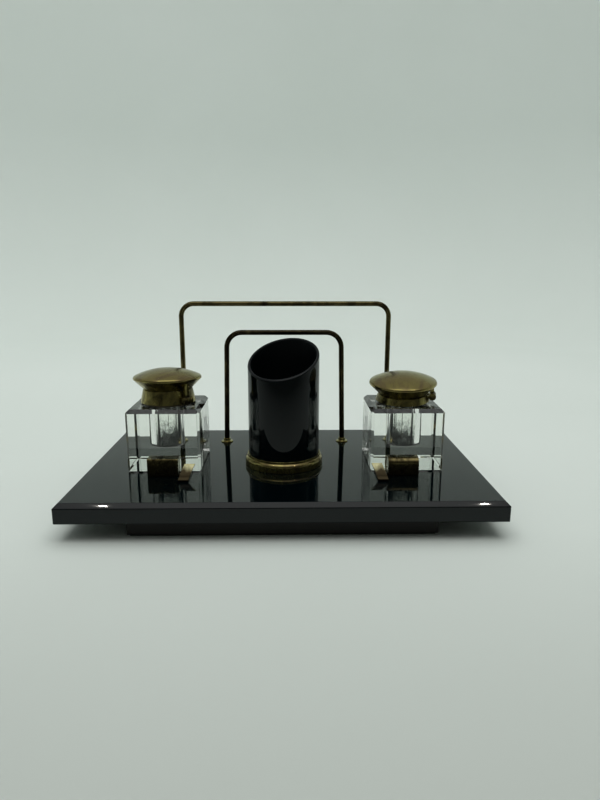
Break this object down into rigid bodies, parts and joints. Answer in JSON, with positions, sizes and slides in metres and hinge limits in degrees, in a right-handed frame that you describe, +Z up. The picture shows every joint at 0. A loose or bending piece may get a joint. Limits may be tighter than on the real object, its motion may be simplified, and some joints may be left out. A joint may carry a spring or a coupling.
{
  "type": "desk inkstand",
  "caption": "Black glass desk stand on a low plinth with square crystal inkwells under hinged brass lids, a slanted pen cup, wire letter hoops and brass pen rests.",
  "frame": {"origin": "middle of the felt's underside, where the stand touches the desk", "axes": "+X to the right as a writer faces it, along the slab's long side; +Y to the back, where the letter hoops stand; +Z up"},
  "size_m": [0.28, 0.17, 0.1375],
  "materials": {
    "black_glass": "polished opaque black glass",
    "crystal": "clear cut crystal, polished",
    "aged_brass": "polished brass with golden-brown age and dull patches",
    "ebonised_wood": "black-stained hardwood, satin",
    "felt": "dark pressed wool felt",
    "cement": "off-white fixing plaster",
    "fixing_steel": "plain turned steel"
  },
  "bodies": {
    "stand": {"base_slab": "black_glass", "plinth": "ebonised_wood", "felt_pad": "felt", "pen_cup_tube": "black_glass", "pen_cup_base": "aged_brass", "pen_cup_pad": "felt", "pen_cup_bolt": "fixing_steel", "pen_cup_washer": "fixing_steel", "pen_cup_nut": "fixing_steel", "front_hoop": "aged_brass", "rear_hoop": "aged_brass", "front_hoop_ferrules": "aged_brass", "rear_hoop_ferrules": "aged_brass", "hoop_washers": "fixing_steel", "hoop_nuts": "fixing_steel", "pen_rest_block_left": "aged_brass", "pen_rest_leaf_left": "aged_brass", "pen_rest_block_right": "aged_brass", "pen_rest_leaf_right": "aged_brass", "pen_rest_screws": "fixing_steel"},
    "inkwell_left": {"inkwell_glass_left": "crystal", "collar_bed_left": "cement", "collar_left": "aged_brass", "hinge_pin_left": "aged_brass"},
    "inkwell_right": {"inkwell_glass_right": "crystal", "collar_bed_right": "cement", "collar_right": "aged_brass", "hinge_pin_right": "aged_brass"},
    "lid_left_body": {"lid_left": "aged_brass", "lid_plate_left": "aged_brass"},
    "lid_right_body": {"lid_right": "aged_brass", "lid_plate_right": "aged_brass"}
  },
  "joints": [
    {"name": "lift_inkwell_left", "type": "slide", "parent": "stand", "child": "inkwell_left", "axis": [0, 0, 1], "range_m": [0, 0.08]},
    {"name": "open_lid_left", "type": "hinge", "parent": "inkwell_left", "child": "lid_left_body", "pos_m": [-0.06774, -0.0151, 0.07397], "axis": [0.6691, 0.7429, -0.0195], "range_deg": [0, 100]},
    {"name": "lift_inkwell_right", "type": "slide", "parent": "stand", "child": "inkwell_right", "axis": [0, 0, 1], "range_m": [0, 0.08]},
    {"name": "open_lid_right", "type": "hinge", "parent": "inkwell_right", "child": "lid_right_body", "pos_m": [0.10708, -0.00605, 0.07477], "axis": [0.2224, 0.9699, 0.0992], "range_deg": [0, 105]}
  ]
}
